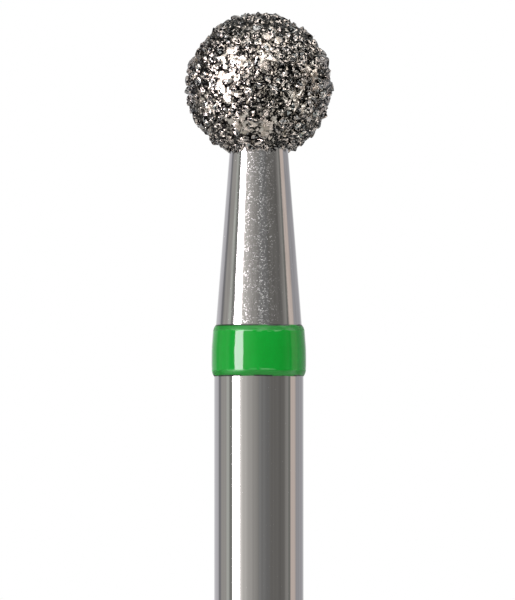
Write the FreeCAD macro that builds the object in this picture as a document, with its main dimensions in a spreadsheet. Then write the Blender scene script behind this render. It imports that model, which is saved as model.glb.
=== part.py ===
"""A friction-grip dental bur with a round, diamond-coated head.

Millimetres. The bur stands on its shank: +Z runs from the shank's free end to the head, and the
origin is the centre of that end's flat face. It is made of a turned steel blank, a nickel layer
plated on the blank's ball, diamond crystals held by the nickel, and an enamel band for the grit.
"""
import FreeCAD, Part
import enum
import itertools
import math
import os
import random
import Sketcher
from FreeCAD import Placement, Rotation, Vector

# The driving dimensions: each one's name, its value and what it measures.
DIMENSIONS = (
    ("total_length", 19.0, "from the shank's end to the tip of the highest crystal"),
    ("shank_diameter", 1.6, "ground shank that the chuck grips"),
    ("end_chamfer", 0.25, "length and depth of the chamfer at the shank's end"),
    ("end_edge_radius", 0.06, "rounding of the two edges of that chamfer"),
    ("head_diameter", 2.7, "over the tips of the highest crystals"),
    ("stand_out", 0.115, "height of the highest crystals above the nickel"),
    ("nickel_thickness", 0.085, "plated layer on the blank's ball"),
    ("neck_diameter", 1.04, "where the neck leaves the nickel"),
    ("neck_length", 3.55, "from the nickel's edge down to the shoulder where the shank begins"),
    ("band_on_shank", 0.52, "length of the band below the shoulder"),
    ("band_on_neck", 0.4, "length of the band above the shoulder"),
    ("band_thickness", 0.042, "enamel over the steel"),
    ("band_edge_radius", 0.25, "rounding of the enamel's two edges"),
    ("band_crown_radius", 10.0, "slight bulge of the enamel on the shank"),
    ("grit_size", 0.172, "largest distance between two faces of a crystal"),
    ("grit_pitch", 0.176, "mean distance from one crystal to the next"),
    ("grit_gap", 0.01, "clearance between two crystals, and between a crystal and the neck"),
)

# Sizes that several pieces share, as expressions of the sheet's cells.
SHANK_RADIUS = "sizes.shank_diameter / 2"
BALL_CENTRE = "sizes.total_length - sizes.head_diameter / 2"
NICKEL_RADIUS = "sizes.head_diameter / 2 - sizes.stand_out"
CORE_RADIUS = f"{NICKEL_RADIUS} - sizes.nickel_thickness"
NECK_RADIUS = "sizes.neck_diameter / 2"
NECK_TOP = f"{BALL_CENTRE} - sqrt(({NICKEL_RADIUS}) ^ 2 - ({NECK_RADIUS}) ^ 2)"
SHOULDER = f"{NECK_TOP} - sizes.neck_length"

# How the grit is scattered, as shares of the sizes in the sheet.
GRIT_SEED = 27
FIRST_JITTER = 0.42
SETTLING_ROUNDS = 4
SETTLING_REACH = 1.25
SETTLING_STEP = 0.35

# How a crystal is drawn, as shares of its size and stand-out and as a slope of its faces.
WEDGE_SHARE = 0.25
THINNEST = 0.8
LOWEST_STAND_OUT = 0.76
MOST_BARE = 0.62
MOST_TILT = 0.22
SHORTEST_EDGE = 0.09
MOST_DRAWS = 12

# Below these, planes count as parallel and places as the same.
PARALLEL = 1e-6
NEARLY = 1e-9


class Form(enum.Enum):
    """A crystal's faces before they are tilted, each with its direction at its distance from the middle."""

    BLOCK = ((0.5, 0, 0), (-0.5, 0, 0), (0, 0.5, 0), (0, -0.5, 0), (0, 0, 0.5), (0, 0, -0.5))
    WEDGE = ((0.19, 0.19, 0.19), (0.19, -0.19, -0.19), (-0.19, 0.19, -0.19), (-0.19, -0.19, 0.19))


class Axis(enum.IntEnum):
    """How a sketch numbers its axes, which both hold its origin."""

    WIDTH = -1
    HEIGHT = -2


class At(enum.IntEnum):
    """How a sketch numbers the points of a line or an arc. An axis starts at the origin."""

    START = 1
    END = 2
    CENTRE = 3


class Sizes:
    """The sheet's values, and those worked out from them, for code that needs plain numbers."""

    def __init__(self, sheet):
        for alias, _, _ in DIMENSIONS:
            setattr(self, alias, float(sheet.get(alias)))
        self.shank_radius = self.shank_diameter / 2
        self.ball_centre = self.total_length - self.head_diameter / 2
        self.nickel_radius = self.head_diameter / 2 - self.stand_out
        self.core_radius = self.nickel_radius - self.nickel_thickness
        self.neck_radius = self.neck_diameter / 2
        self.neck_top = self.ball_centre - math.sqrt(self.nickel_radius**2 - self.neck_radius**2)
        self.shoulder = self.neck_top - self.neck_length
        self.neck_slope = (self.shank_radius - self.neck_radius) / self.neck_length
        self.crystal_reach = self.grit_size / 2 * math.sqrt(3) * (1 + MOST_TILT)

    def neck_radius_at(self, height):
        """Radius of the neck's cone at a height."""
        return self.neck_radius + (self.neck_top - height) * self.neck_slope

    def neck_meets_core(self):
        """Radius and height of the circle where the neck runs into the blank's ball."""
        slope = self.neck_slope
        squares = 1 + slope**2
        axis_radius = self.neck_radius_at(self.ball_centre)
        drop = (math.sqrt(self.core_radius**2 * squares - axis_radius**2) - axis_radius * slope) / squares
        height = self.ball_centre - drop
        return self.neck_radius_at(height), height


def make_sheet(doc):
    """The spreadsheet of driving dimensions."""
    sheet = doc.addObject("Spreadsheet::Sheet", "sizes")
    for row, (alias, value, meaning) in enumerate(DIMENSIONS, start=1):
        sheet.set(f"A{row}", alias)
        sheet.set(f"B{row}", str(value))
        sheet.set(f"C{row}", meaning)
        sheet.setAlias(f"B{row}", alias)
    doc.recompute()
    return sheet


def new_profile(doc, label):
    """A new body with a sketch on its XZ plane, where X is the radius and Y the height."""
    body = doc.addObject("PartDesign::Body", label)
    body.Label = label
    sketch = body.newObject("Sketcher::SketchObject", f"{label}_profile")
    plane = next(plane for plane in body.Origin.OriginFeatures if plane.Role == "XZ_Plane")
    sketch.AttachmentSupport = [(plane, "")]
    sketch.MapMode = "FlatFace"
    return body, sketch


def add_line(sketch, start, end):
    """A straight line between two points of the profile."""
    return sketch.addGeometry(Part.LineSegment(Vector(*start, 0), Vector(*end, 0)), False)


def add_arc(sketch, centre, start, end):
    """An arc round a centre, anticlockwise from one point of the profile to another."""
    radius = math.dist(centre, start)
    first = math.atan2(start[1] - centre[1], start[0] - centre[0])
    last = math.atan2(end[1] - centre[1], end[0] - centre[0])
    circle = Part.Circle(Vector(*centre, 0), Vector(0, 0, 1), radius)
    return sketch.addGeometry(Part.ArcOfCircle(circle, first, last), False)


def add_point(sketch, place):
    """A point that a line of the profile has to pass through."""
    return sketch.addGeometry(Part.Point(Vector(*place, 0)), True)


def constrain(sketch, *rule):
    """Adds one constraint to a sketch and returns its number."""
    return sketch.addConstraint(Sketcher.Constraint(*rule))


def join(sketch, *ends):
    """Joins pairs of ends, each given as line, end, line, end."""
    for rule in ends:
        constrain(sketch, "Coincident", *rule)


def drive(sketch, expression, *rule):
    """Adds a dimension and binds it to an expression of the sheet's cells."""
    sketch.setExpression(f"Constraints[{constrain(sketch, *rule)}]", expression)


def drive_radius(sketch, arc, expression):
    """Binds the radius of an arc."""
    drive(sketch, expression, "Radius", arc, sketch.Geometry[arc].Radius)


def drive_width(sketch, shape, point, expression):
    """Binds a point's distance from the height axis."""
    place = sketch.getPoint(shape, point)
    drive(sketch, expression, "DistanceX", Axis.WIDTH, At.START, shape, point, place.x)


def drive_height(sketch, shape, point, expression):
    """Binds a point's height."""
    place = sketch.getPoint(shape, point)
    drive(sketch, expression, "DistanceY", Axis.WIDTH, At.START, shape, point, place.y)


def drive_point(sketch, shape, point, width, height):
    """Binds a point's place."""
    drive_width(sketch, shape, point, width)
    drive_height(sketch, shape, point, height)


def turn_profile(body, sketch):
    """Turns a body's profile a full turn round the height axis."""
    turned = body.newObject("PartDesign::Revolution", f"{body.Label}_turned")
    turned.Profile = sketch
    turned.ReferenceAxis = (sketch, ["V_Axis"])
    turned.Angle = 360.0
    body.Document.recompute()
    return turned


def circles_of(feature, rings):
    """Names of a feature's circular edges with these radii and heights."""
    names = []
    for number, edge in enumerate(feature.Shape.Edges, start=1):
        if edge.Degenerated or not isinstance(edge.Curve, Part.Circle):
            continue
        ring = (edge.Curve.Radius, edge.Curve.Center.z)
        if any(math.dist(ring, wanted) < NEARLY for wanted in rings):
            names.append(f"Edge{number}")
    return names


def make_blank(doc, sizes):
    """The turned steel blank: shank, neck and the ball that carries the plating, in one piece."""
    body, sketch = new_profile(doc, "steel_blank")
    foot, corner = (0, 0), (sizes.shank_radius, 0)
    shoulder = (sizes.shank_radius, sizes.shoulder)
    root = sizes.neck_meets_core()
    middle, top = (0, sizes.ball_centre), (0, sizes.ball_centre + sizes.core_radius)

    end_face = add_line(sketch, foot, corner)
    shank = add_line(sketch, corner, shoulder)
    neck = add_line(sketch, shoulder, root)
    ball = add_arc(sketch, middle, root, top)
    axis = add_line(sketch, top, foot)
    neck_mark = add_point(sketch, (sizes.neck_radius, sizes.neck_top))

    join(sketch, (end_face, At.START, Axis.WIDTH, At.START), (end_face, At.END, shank, At.START))
    join(sketch, (shank, At.END, neck, At.START), (neck, At.END, ball, At.START))
    join(sketch, (ball, At.END, axis, At.START), (axis, At.END, end_face, At.START))
    constrain(sketch, "Horizontal", end_face)
    constrain(sketch, "Vertical", shank)
    constrain(sketch, "PointOnObject", ball, At.CENTRE, Axis.HEIGHT)
    constrain(sketch, "PointOnObject", ball, At.END, Axis.HEIGHT)
    constrain(sketch, "PointOnObject", neck_mark, At.START, neck)
    drive_point(sketch, shank, At.END, SHANK_RADIUS, SHOULDER)
    drive_point(sketch, neck_mark, At.START, NECK_RADIUS, NECK_TOP)
    drive_height(sketch, ball, At.CENTRE, BALL_CENTRE)
    drive_radius(sketch, ball, CORE_RADIUS)
    turned = turn_profile(body, sketch)

    chamfer = body.newObject("PartDesign::Chamfer", "end_chamfer")
    chamfer.Base = (turned, circles_of(turned, [corner]))
    chamfer.Size = sizes.end_chamfer
    chamfer.setExpression("Size", "sizes.end_chamfer")
    doc.recompute()

    rings = [(sizes.shank_radius - sizes.end_chamfer, 0), (sizes.shank_radius, sizes.end_chamfer)]
    rounding = body.newObject("PartDesign::Fillet", "end_rounding")
    rounding.Base = (chamfer, circles_of(chamfer, rings))
    rounding.Radius = sizes.end_edge_radius
    rounding.setExpression("Radius", "sizes.end_edge_radius")
    doc.recompute()
    return body


def make_nickel(doc, sizes):
    """The plated layer, which covers the blank's ball and ends at the neck."""
    body, sketch = new_profile(doc, "nickel_bond")
    middle = (0, sizes.ball_centre)
    outer_top = (0, sizes.ball_centre + sizes.nickel_radius)
    inner_top = (0, sizes.ball_centre + sizes.core_radius)
    rim, root = (sizes.neck_radius, sizes.neck_top), sizes.neck_meets_core()

    outside = add_arc(sketch, middle, rim, outer_top)
    inside = add_arc(sketch, middle, root, inner_top)
    wall = add_line(sketch, outer_top, inner_top)
    edge = add_line(sketch, root, rim)
    shoulder = add_point(sketch, (sizes.shank_radius, sizes.shoulder))

    join(sketch, (outside, At.END, wall, At.START), (wall, At.END, inside, At.END))
    join(sketch, (inside, At.START, edge, At.START), (edge, At.END, outside, At.START))
    join(sketch, (inside, At.CENTRE, outside, At.CENTRE))
    constrain(sketch, "PointOnObject", outside, At.CENTRE, Axis.HEIGHT)
    constrain(sketch, "PointOnObject", outside, At.END, Axis.HEIGHT)
    constrain(sketch, "PointOnObject", inside, At.END, Axis.HEIGHT)
    constrain(sketch, "PointOnObject", shoulder, At.START, edge)
    drive_point(sketch, shoulder, At.START, SHANK_RADIUS, SHOULDER)
    drive_height(sketch, outside, At.CENTRE, BALL_CENTRE)
    drive_radius(sketch, outside, NICKEL_RADIUS)
    drive_radius(sketch, inside, CORE_RADIUS)
    drive_width(sketch, outside, At.START, NECK_RADIUS)
    turn_profile(body, sketch)
    return body


def make_band(doc, sizes):
    """The enamel band, which lies over the shoulder and follows the shank and the neck.

    Its lines are drawn as if its face on the shank were straight, and the sketch bends that face
    to its crown.
    """
    body, sketch = new_profile(doc, "colour_band")
    radius, thickness, edge = sizes.shank_radius, sizes.band_thickness, sizes.band_edge_radius
    tilt = math.atan(sizes.neck_slope)
    across, along = (math.cos(tilt), math.sin(tilt)), (-math.sin(tilt), math.cos(tilt))
    sweep = math.acos(1 - thickness / edge)
    run = edge * math.sin(sweep)

    foot = (radius, sizes.shoulder - sizes.band_on_shank)
    shoulder = (radius, sizes.shoulder)
    head = (sizes.neck_radius_at(sizes.shoulder + sizes.band_on_neck), sizes.shoulder + sizes.band_on_neck)
    low = (radius + thickness, foot[1] + run)
    bend = (radius + thickness, shoulder[1] + thickness * math.tan(tilt / 2))
    high = tuple(h + thickness * a - run * t for h, a, t in zip(head, across, along))
    widest = (radius + thickness, (foot[1] + shoulder[1]) / 2)
    crown_centre = (widest[0] - sizes.band_crown_radius, widest[1])
    low_centre = (low[0] - edge, low[1])
    high_centre = tuple(h - edge * a for h, a in zip(high, across))

    on_shank = add_line(sketch, foot, shoulder)
    on_neck = add_line(sketch, shoulder, head)
    face = add_arc(sketch, crown_centre, low, bend)
    slope = add_line(sketch, bend, high)
    low_edge = add_arc(sketch, low_centre, foot, low)
    high_edge = add_arc(sketch, high_centre, high, head)
    neck_mark = add_point(sketch, (sizes.neck_radius, sizes.neck_top))
    crown_mark = add_point(sketch, widest)

    join(sketch, (on_shank, At.START, low_edge, At.START), (on_shank, At.END, on_neck, At.START))
    join(sketch, (on_neck, At.END, high_edge, At.END), (face, At.END, slope, At.START))
    constrain(sketch, "Tangent", low_edge, At.END, face, At.START)
    constrain(sketch, "Tangent", slope, At.END, high_edge, At.START)
    constrain(sketch, "PointOnObject", crown_mark, At.START, face)
    constrain(sketch, "Horizontal", crown_mark, At.START, face, At.CENTRE)
    constrain(sketch, "Parallel", slope, on_neck)
    constrain(sketch, "PointOnObject", neck_mark, At.START, on_neck)
    drive_point(sketch, neck_mark, At.START, NECK_RADIUS, NECK_TOP)
    drive_point(sketch, on_shank, At.START, SHANK_RADIUS, f"{SHOULDER} - sizes.band_on_shank")
    drive_point(sketch, on_shank, At.END, SHANK_RADIUS, SHOULDER)
    drive_height(sketch, on_neck, At.END, f"{SHOULDER} + sizes.band_on_neck")
    drive_width(sketch, crown_mark, At.START, f"{SHANK_RADIUS} + sizes.band_thickness")
    drive_height(sketch, crown_mark, At.START, f"{SHOULDER} - sizes.band_on_shank / 2")
    drive_radius(sketch, face, "sizes.band_crown_radius")
    drive(sketch, "sizes.band_thickness", "Distance", on_shank, At.END, slope, thickness)
    drive_radius(sketch, low_edge, "sizes.band_edge_radius")
    drive_radius(sketch, high_edge, "sizes.band_edge_radius")
    turn_profile(body, sketch)
    return body


def scattered_seats(sizes, dice):
    """Directions from the ball's centre to the crystals' seats, the first one straight up.

    They start on a spiral that covers the nickel evenly, are shaken, and settle by pushing off
    their neighbours. The lowest ones keep half a crystal away from the neck.
    """
    lowest = -math.sqrt(1 - ((sizes.neck_radius + sizes.grit_size / 2) / sizes.nickel_radius) ** 2)
    share = sizes.grit_pitch / sizes.nickel_radius
    count = round(2 * math.pi * (1 - lowest) / share**2)
    golden_turn = math.pi * (3 - math.sqrt(5))
    seats = [Vector(0, 0, 1)]
    for number in range(1, count):
        height = 1 - (1 - lowest) * number / (count - 1)
        width = math.sqrt(1 - height**2)
        turn = number * golden_turn
        shake = Vector(*(dice.uniform(-1, 1) for _ in range(3))) * share * FIRST_JITTER
        seats.append((Vector(width * math.cos(turn), width * math.sin(turn), height) + shake).normalize())
    for _ in range(SETTLING_ROUNDS):
        settle(seats, share * SETTLING_REACH, lowest)
    return seats


def settle(seats, reach, lowest):
    """Moves each seat but the first a little away from those within reach."""
    pushes = [Vector() for _ in seats]
    for first, second in close_pairs(seats, reach):
        away = seats[first] - seats[second]
        push = away * (SETTLING_STEP * (reach / away.Length - 1))
        pushes[first] += push
        pushes[second] -= push
    for number in range(1, len(seats)):
        moved = (seats[number] + pushes[number]).normalize()
        if moved.z < lowest:
            side = math.sqrt((1 - lowest**2) / (moved.x**2 + moved.y**2))
            moved = Vector(moved.x * side, moved.y * side, lowest)
        seats[number] = moved


def close_pairs(seats, reach):
    """Pairs of seats nearer than a reach, found by their height first."""
    order = sorted(range(len(seats)), key=lambda number: seats[number].z)
    for place, first in enumerate(order):
        for second in order[place + 1:]:
            if seats[second].z - seats[first].z > reach:
                break
            if seats[first].distanceToPoint(seats[second]) < reach:
                yield first, second


def corner_of(planes):
    """The point where three planes meet, or nothing where they nearly miss."""
    (first, a), (second, b), (third, c) = planes
    across = second.cross(third)
    spread = first.dot(across)
    if abs(spread) < PARALLEL:
        return None
    return (across * a + third.cross(first) * b + first.cross(second) * c) / spread


def corners_behind(planes):
    """The corners of the solid that lies behind a set of planes, each with its three planes."""
    found = []
    for trio in itertools.combinations(range(len(planes)), 3):
        corner = corner_of([planes[number] for number in trio])
        if corner is None:
            continue
        if all(normal.dot(corner) < offset + NEARLY for normal, offset in planes):
            found.append((corner, trio))
    return found


def shortest_gap(corners):
    """The distance between the two nearest corners."""
    places = [corner for corner, _ in corners]
    pairs = itertools.combinations(places, 2)
    return min((first.distanceToPoint(second) for first, second in pairs), default=0)


def ring_round(corners, normal):
    """A flat face's corners in order round its normal."""
    middle = sum(corners, Vector()) / len(corners)
    side = (corners[0] - middle).normalize()
    ahead = normal.cross(side)
    places = [corner - middle for corner in corners]
    turns = [math.atan2(place.dot(ahead), place.dot(side)) for place in places]
    return [corner for _, corner in sorted(zip(turns, corners), key=lambda pair: pair[0])]


def solid_behind(planes, corners):
    """The flat-faced solid that lies behind a set of planes and has these corners."""
    faces = []
    for number, (normal, _) in enumerate(planes):
        own = [corner for corner, trio in corners if number in trio]
        if own:
            ring = ring_round(own, normal)
            faces.append(Part.Face(Part.makePolygon([*ring, ring[0]])))
    return Part.Solid(Part.Shell(faces))


def form_planes(form, size, turn, dice):
    """The faces of an irregular crystal round the origin, before it is cut."""
    planes = []
    for place in form.value:
        way = Vector(*place)
        tilt = Vector(*(dice.uniform(-MOST_TILT, MOST_TILT) for _ in range(3)))
        normal = turn.multVec(way / way.Length + tilt).normalize()
        planes.append((normal, size * way.Length * dice.uniform(THINNEST, 1)))
    return planes


def neck_plane(sizes, seat):
    """The plane that touches the neck's cone on a seat's side, moved out by the gap."""
    side = Vector(seat.x, seat.y, 0).normalize()
    outward = (side + Vector(0, 0, sizes.neck_slope)).normalize()
    on_cone = side * sizes.neck_radius + Vector(0, 0, sizes.neck_top - sizes.ball_centre)
    return outward * -1, -outward.dot(on_cone) - sizes.grit_gap


def crystal_limits(sizes, seat, neighbours):
    """The planes that a crystal stays behind: the nickel, its neighbours and the neck."""
    limits = [(seat * -1, -sizes.nickel_radius)]
    for neighbour in neighbours:
        limits.append(((neighbour - seat).normalize(), -sizes.grit_gap / 2))
    from_axis = math.hypot(seat.x, seat.y) * sizes.nickel_radius
    if seat.z < 0 and from_axis < sizes.neck_radius + sizes.crystal_reach:
        limits.append(neck_plane(sizes, seat))
    return limits


def draw_crystal(sizes, seat, limits, form, turn, stand_out, dice):
    """A crystal's planes and corners: one form, set on its seat and cut at its limits."""
    faces = form_planes(form, sizes.grit_size, turn, dice)
    heights = [corner.dot(seat) for corner, _ in corners_behind(faces)]
    bare = min(stand_out, MOST_BARE * (max(heights) - min(heights)))
    middle = seat * (sizes.nickel_radius + bare - max(heights))
    planes = [(normal, offset + normal.dot(middle)) for normal, offset in faces] + limits
    return planes, corners_behind(planes)


def make_crystal(sizes, seat, neighbours, dice):
    """One crystal, drawn again while it has a splinter of an edge."""
    limits = crystal_limits(sizes, seat, neighbours)
    draws = []
    while len(draws) < MOST_DRAWS:
        form = Form.WEDGE if dice.random() < WEDGE_SHARE else Form.BLOCK
        stand_out = sizes.stand_out * dice.uniform(LOWEST_STAND_OUT, 1)
        turn = Rotation(*(dice.gauss(0, 1) for _ in range(4)))
        draws.append(draw_crystal(sizes, seat, limits, form, turn, stand_out, dice))
        if shortest_gap(draws[-1][1]) > SHORTEST_EDGE * sizes.grit_size:
            break
    return solid_behind(*max(draws, key=lambda draw: shortest_gap(draw[1])))


def make_tip(sizes, seat, neighbours, dice):
    """The crystal on the bur's axis: a block of full height with one corner straight up."""
    limits = crystal_limits(sizes, seat, neighbours)
    corner_up = Rotation(Vector(1, 1, 1), seat)
    return solid_behind(*draw_crystal(sizes, seat, limits, Form.BLOCK, corner_up, sizes.stand_out, dice))


def make_grit(doc, sizes):
    """The diamond crystals, each a solid of its own from the nickel's surface outwards."""
    dice = random.Random(GRIT_SEED)
    seats = scattered_seats(sizes, dice)
    neighbours = [[] for _ in seats]
    for first, second in close_pairs(seats, 2 * sizes.crystal_reach / sizes.nickel_radius):
        neighbours[first].append(seats[second])
        neighbours[second].append(seats[first])
    crystals = [make_tip(sizes, seats[0], neighbours[0], dice)]
    crystals += [make_crystal(sizes, *place, dice) for place in zip(seats[1:], neighbours[1:])]

    grit = doc.addObject("Part::Feature", "diamond_grit")
    grit.Label = "diamond_grit"
    grit.Shape = Part.makeCompound(crystals)
    grit.Placement = Placement(Vector(0, 0, sizes.ball_centre), Rotation())
    grit.setExpression("Placement.Base.z", BALL_CENTRE)
    return grit


def check(doc, pieces):
    """Stops with a message if an object failed or a piece isn't a sound solid."""
    for thing in doc.Objects:
        if "Invalid" in thing.State or "Error" in thing.State:
            raise RuntimeError(f"{thing.Label} failed: {thing.State}")
        if thing.isDerivedFrom("Sketcher::SketchObject") and not thing.FullyConstrained:
            raise RuntimeError(f"{thing.Label} isn't fully constrained")
    for piece in pieces:
        if piece.Shape.isNull() or not piece.Shape.isValid():
            raise RuntimeError(f"{piece.Label} has no sound shape")


def main():
    """Builds the bur and writes one file for each piece."""
    doc = FreeCAD.newDocument("dental_bur")
    sizes = Sizes(make_sheet(doc))
    pieces = [make(doc, sizes) for make in (make_blank, make_nickel, make_grit, make_band)]
    doc.recompute()
    check(doc, pieces)

    os.makedirs("parts", exist_ok=True)
    for piece in pieces:
        piece.Shape.exportStep(f"parts/{piece.Label}.step")
        box = piece.Shape.BoundBox
        print(f"{piece.Label}: {len(piece.Shape.Solids)} solids, {piece.Shape.Volume:.5f} mm3, "
              f"radius {box.XMax:.3f}, from {box.ZMin:.3f} to {box.ZMax:.3f}")


main()
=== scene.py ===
"""A friction-grip dental bur with a round, diamond-coated head, in a plain studio.

Metres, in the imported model's frame: +Z runs from the shank's free end to the head, and the camera
stands on the -Y side. The bur has four pieces, and each is a class here: the turned steel blank,
the enamel band, the nickel layer and the diamond grit. The studio holds the light, the floor and
the camera. An angle round the axis is 0 on the camera's side and 90 degrees on its right.
"""

import logging
import math
import random
from collections.abc import Iterator
from dataclasses import dataclass
from enum import Enum

import bmesh
import bpy
from mathutils import Matrix, Vector, noise
from mathutils.bvhtree import BVHTree


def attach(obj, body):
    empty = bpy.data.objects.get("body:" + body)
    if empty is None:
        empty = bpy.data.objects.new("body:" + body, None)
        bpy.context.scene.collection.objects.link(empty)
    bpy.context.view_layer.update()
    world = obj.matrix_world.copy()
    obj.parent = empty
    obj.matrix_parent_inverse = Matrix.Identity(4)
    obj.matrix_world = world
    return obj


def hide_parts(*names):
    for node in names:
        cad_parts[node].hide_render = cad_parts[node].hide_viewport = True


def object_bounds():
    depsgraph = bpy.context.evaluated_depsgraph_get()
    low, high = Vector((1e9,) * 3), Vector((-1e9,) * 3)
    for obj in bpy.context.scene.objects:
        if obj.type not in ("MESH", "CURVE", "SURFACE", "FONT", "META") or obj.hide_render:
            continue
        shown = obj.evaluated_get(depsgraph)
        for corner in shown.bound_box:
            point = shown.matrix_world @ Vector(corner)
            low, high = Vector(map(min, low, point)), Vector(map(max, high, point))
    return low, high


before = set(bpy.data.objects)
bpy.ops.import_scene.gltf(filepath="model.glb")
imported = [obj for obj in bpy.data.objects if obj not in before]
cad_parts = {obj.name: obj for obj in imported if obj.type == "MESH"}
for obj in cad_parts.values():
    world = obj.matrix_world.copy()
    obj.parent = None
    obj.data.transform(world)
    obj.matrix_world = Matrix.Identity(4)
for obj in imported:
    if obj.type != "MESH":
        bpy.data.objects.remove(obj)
CAD_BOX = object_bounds()

MM = 0.001
ON_AXIS = 1e-7
HALF_TURN = 180.0
FULL_TURN = 360.0
GOLDEN_ANGLE = math.pi * (3 - math.sqrt(5))
NOISE_MIDDLE = 0.5
BODY = "root"
PICTURE_HEIGHT = 600
PIXELS_PER_MM = 56.0

LOG = logging.getLogger("bur")

Point = tuple[float, float]
Colour = tuple[float, float, float]
Factors = tuple[float, float, float]
Stop = tuple[float, Colour]
Body = bmesh.types.BMesh
Socket = bpy.types.NodeSocket
Input = Socket | float | tuple


class Slot(Enum):
    """The record's material slots."""

    STEEL = "steel"
    NICKEL = "nickel"
    DIAMOND = "diamond"
    ENAMEL = "enamel"


class Mark(Enum):
    """The values that the meshes hold for their finishes to read."""

    RIM = "rim"
    # how far a place lies from the crystals: at 0 the nickel takes its painted crevice shade, at 1 none
    SHADE_FREE = "shade_free"
    # a face's value: random tone, with painted shade low between the crystals and painted highlights on worn
    # edges
    FACET = "facet"
    CRYSTAL = "crystal"
    MIRROR = "mirror"


@dataclass(frozen=True)
class BurSizes:
    """The bur's driving sizes, as real measures, and those that follow from them."""

    top: float
    shank_radius: float = 0.8 * MM
    end_chamfer: float = 0.25 * MM
    end_edge_radius: float = 0.06 * MM
    head_radius: float = 1.35 * MM
    stand_out: float = 0.115 * MM
    nickel_thickness: float = 0.085 * MM
    neck_radius: float = 0.52 * MM
    neck_length: float = 3.55 * MM
    band_on_shank: float = 0.52 * MM
    band_on_neck: float = 0.4 * MM
    band_thickness: float = 0.042 * MM
    band_edge_radius: float = 0.25 * MM
    band_crown_radius: float = 10.0 * MM
    band_bend_radius: float = 0.5 * MM

    @property
    def ball_centre(self) -> float:
        """Height of the head's middle."""
        return self.top - self.head_radius

    @property
    def nickel_radius(self) -> float:
        """Radius of the plated ball."""
        return self.head_radius - self.stand_out

    @property
    def core_radius(self) -> float:
        """Radius of the steel ball under the plating."""
        return self.nickel_radius - self.nickel_thickness

    @property
    def neck_top(self) -> float:
        """Height at which the neck leaves the nickel."""
        return self.ball_centre - math.sqrt(self.nickel_radius**2 - self.neck_radius**2)

    @property
    def shoulder(self) -> float:
        """Height at which the neck's taper ends and the shank begins."""
        return self.neck_top - self.neck_length

    @property
    def neck_slope(self) -> float:
        """How much the neck's radius shrinks for each unit of height."""
        return (self.shank_radius - self.neck_radius) / self.neck_length

    def neck_radius_at(self, height: float) -> float:
        """Radius of the neck's cone at a height."""
        return self.neck_radius + (self.neck_top - height) * self.neck_slope

    def neck_meets_core(self) -> Point:
        """Finds the circle where the neck runs into the steel ball.

        Returns:
            The circle's radius and height.
        """
        squares = 1 + self.neck_slope**2
        wide = self.neck_radius_at(self.ball_centre)
        root = math.sqrt(self.core_radius**2 * squares - wide**2)
        height = self.ball_centre - (root - wide * self.neck_slope) / squares
        return self.neck_radius_at(height), height


def pointing(turn: float, rise: float) -> Vector:
    """Finds a direction from its angles.

    Args:
        turn: The angle round the axis, in degrees.
        rise: The angle above level, in degrees.

    Returns:
        The direction, one unit long.
    """
    around, above = math.radians(turn), math.radians(rise)
    flat = math.cos(above)
    return Vector((flat * math.sin(around), -flat * math.cos(around), math.sin(above)))


def any_way(dice: random.Random) -> Vector:
    """A direction picked by chance, each as likely as any other."""
    return Vector([dice.gauss(0, 1) for _ in range(3)]).normalized()


def arc(centre: Point, radius: float, start: float, end: float, steps: int) -> list[Point]:
    """Points along an arc of an outline.

    Args:
        centre: The arc's centre, as a radius and a height.
        radius: The arc's own radius.
        start: Angle of the first point, in radians from the outward direction.
        end: Angle of the last point.
        steps: Number of stretches between them.

    Returns:
        The points, both ends included.
    """
    turns = (start + (end - start) * i / steps for i in range(steps + 1))
    return [(centre[0] + radius * math.cos(t), centre[1] + radius * math.sin(t)) for t in turns]


def corner(before: Point, at: Point, after: Point, radius: float, steps: int) -> list[Point]:
    """Points that round a corner of an outline.

    Args:
        before: The outline's point before the corner.
        at: The sharp corner.
        after: The outline's point after it.
        radius: Radius of the rounding.
        steps: Number of stretches along it.

    Returns:
        The points of the rounding, from one tangent point to the other.
    """
    here = Vector(at)
    back = (Vector(before) - here).normalized()
    ahead = (Vector(after) - here).normalized()
    half = back.angle(ahead) / 2
    reach = radius / math.tan(half)
    middle = here + (back + ahead).normalized() * (radius / math.sin(half))
    first = here + back * reach - middle
    last = here + ahead * reach - middle
    start = math.atan2(first.y, first.x)
    sweep = (math.atan2(last.y, last.x) - start + math.pi) % math.tau - math.pi
    return arc(tuple(middle), radius, start, start + sweep, steps)


def straight(start: Point, end: Point, steps: int) -> list[Point]:
    """Points along a straight stretch of an outline, both ends included."""
    first, last = Vector(start), Vector(end)
    return [tuple(first.lerp(last, i / steps)) for i in range(steps + 1)]


def turned(name: str, outline: list[Point], segments: int, ring: bool) -> bpy.types.Object:
    """Turns an outline round the bur's axis.

    Args:
        name: The new piece's name.
        outline: Radius and height of each point, upwards on the outside.
        segments: Number of faces round the axis.
        ring: Whether the outline closes on itself, away from the axis.

    Returns:
        The piece, smooth all over.
    """
    made = bmesh.new()
    angles = [math.tau * i / segments for i in range(segments)]
    rings = []
    for radius, height in outline:
        if radius < ON_AXIS:
            circle = [(0, 0, height)]
        else:
            circle = [(radius * math.cos(a), radius * math.sin(a), height) for a in angles]
        rings.append([made.verts.new(place) for place in circle])
    uppers = rings[1:] + rings[:1] if ring else rings[1:]
    for lower, upper in zip(rings, uppers):
        for i in range(segments):
            around = [lower[i % len(lower)], lower[(i + 1) % len(lower)]]
            around += [upper[(i + 1) % len(upper)], upper[i % len(upper)]]
            made.faces.new(dict.fromkeys(around)).smooth = True
    return finished(name, made)


def finished(name: str, made: Body) -> bpy.types.Object:
    """Puts a mesh that has been made into the scene.

    Args:
        name: The object's name.
        made: The mesh, which is used up.

    Returns:
        The object.
    """
    mesh = bpy.data.meshes.new(name)
    made.to_mesh(mesh)
    made.free()
    piece = bpy.data.objects.new(name, mesh)
    bpy.context.scene.collection.objects.link(piece)
    return piece


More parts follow.
